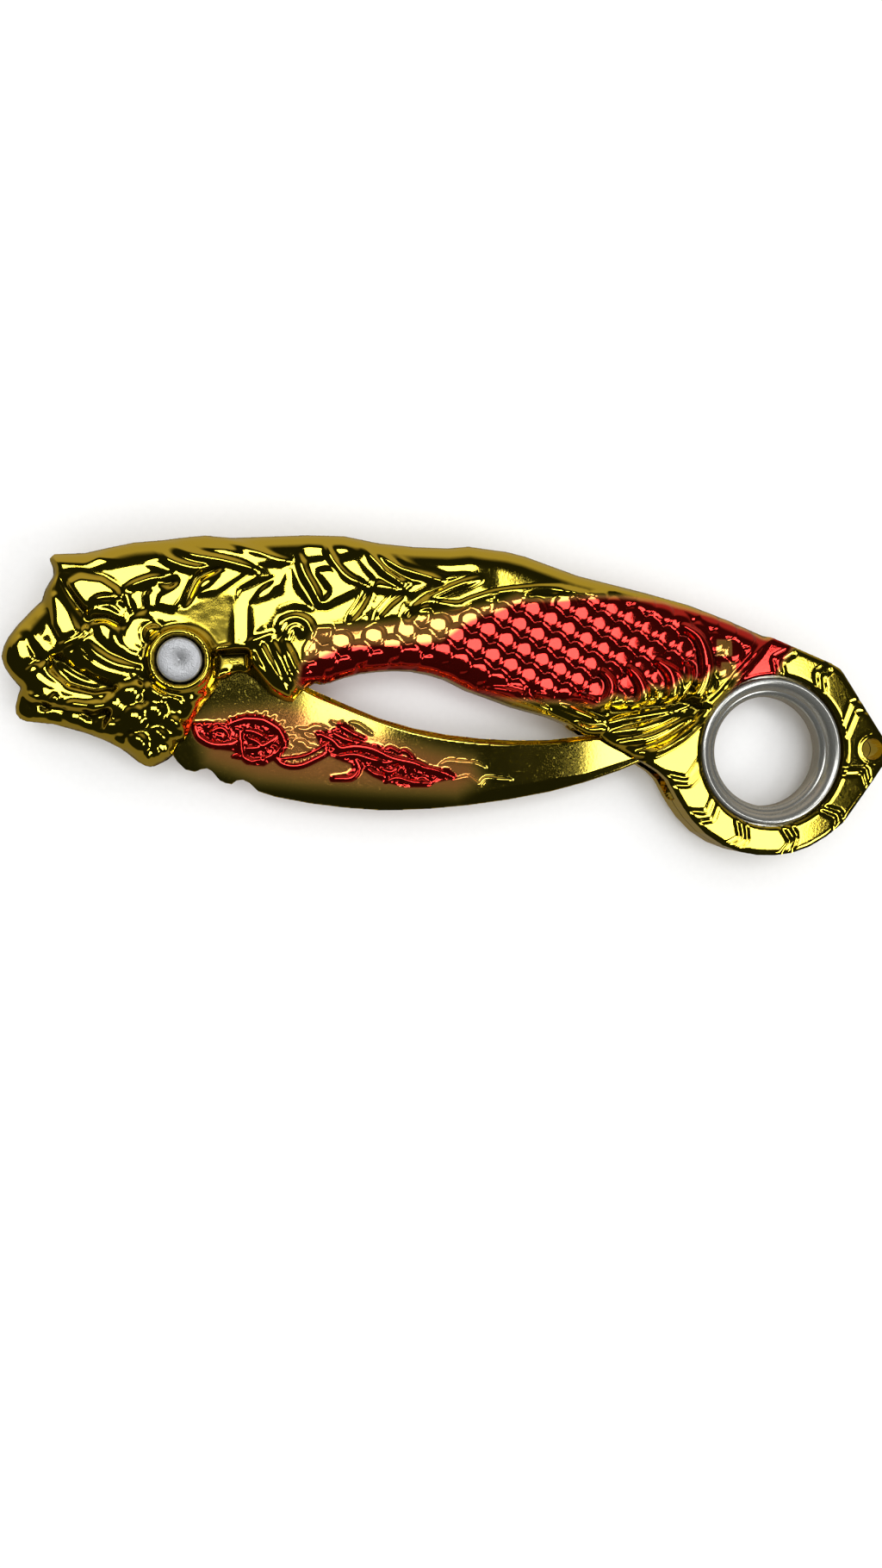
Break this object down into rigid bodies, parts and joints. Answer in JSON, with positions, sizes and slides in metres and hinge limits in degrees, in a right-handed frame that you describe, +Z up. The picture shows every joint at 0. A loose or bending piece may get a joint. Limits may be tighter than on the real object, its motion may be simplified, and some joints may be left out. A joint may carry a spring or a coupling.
{
  "type": "folding knife",
  "caption": "Closed folding knife with a hawkbill blade, a relief-cast dragon-head handle with a scaled body, and a steel-lined finger ring at the tail.",
  "frame": {"origin": "centre of the closed knife's bounding box in X and Y, on the surface it lies on", "axes": "+X from the snout to the finger ring, +Y towards the handle's back, +Z up through the front half, parallel to the pivot"},
  "size_m": [0.1606, 0.0572, 0.0148],
  "materials": {
    "handle_plating": "mirror-bright gold plating on cast zinc alloy, with red tinted lacquer over the scales",
    "blade_plating": "bright gold plating with an orange and red relief",
    "turned_steel": "turned stainless steel, satin",
    "spring_steel": "plain ground steel",
    "washer_bronze": "matt phosphor bronze"
  },
  "bodies": {
    "handle": {"front_handle_half": "handle_plating", "back_handle_half": "handle_plating", "pivot_pin": "turned_steel", "pivot_screw": "turned_steel", "front_washer": "washer_bronze", "back_washer": "washer_bronze", "stop_pin": "spring_steel", "detent_leaf": "spring_steel", "detent_leaf_screw": "spring_steel", "detent_ball": "spring_steel", "body_screw_1": "spring_steel", "body_screw_2": "spring_steel", "body_screw_3": "spring_steel"},
    "blade": {"blade": "blade_plating"},
    "ring_sleeve": {"finger_ring_sleeve": "turned_steel"}
  },
  "joints": [
    {"name": "blade_pivot", "type": "hinge", "parent": "handle", "child": "blade", "pos_m": [-0.05035, 0.0063, 0.0074], "axis": [0, 0, -1], "range_deg": [0, 180]},
    {"name": "ring_sleeve_spin", "type": "hinge", "parent": "handle", "child": "ring_sleeve", "pos_m": [0.05715, -0.0093, 0.0074], "axis": [0, 0, 1], "continuous": true}
  ]
}
